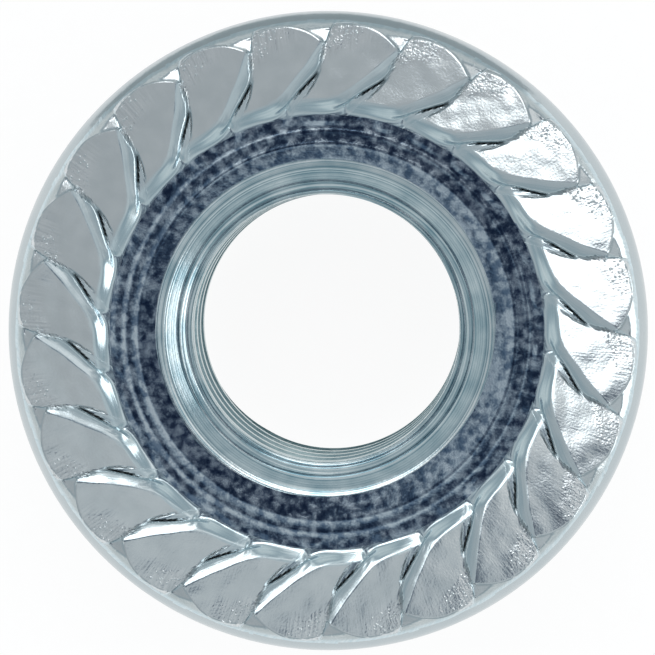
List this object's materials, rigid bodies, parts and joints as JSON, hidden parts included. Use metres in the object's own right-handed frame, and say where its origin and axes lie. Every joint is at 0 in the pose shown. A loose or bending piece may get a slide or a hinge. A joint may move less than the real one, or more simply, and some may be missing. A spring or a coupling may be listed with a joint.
{
  "type": "serrated flange nut",
  "caption": "Hex nut with a wide built-in flange, its bearing face ringed with slanted serrations that bite into the joint and resist loosening, with a threaded through hole.",
  "frame": {"origin": "on the thread's axis, in the plane of the hexagon's free end, which the nut stands on", "axes": "+Z along the thread's axis, out of the serrated bearing face; flats of the hexagon face +X and -X"},
  "size_m": [0.019, 0.019, 0.0086],
  "materials": {
    "zinc_plated_steel": "bright zinc plate with a clear blue passivate, satin as formed"
  },
  "bodies": {
    "root": {"flange_nut": "zinc_plated_steel"}
  },
  "joints": []
}
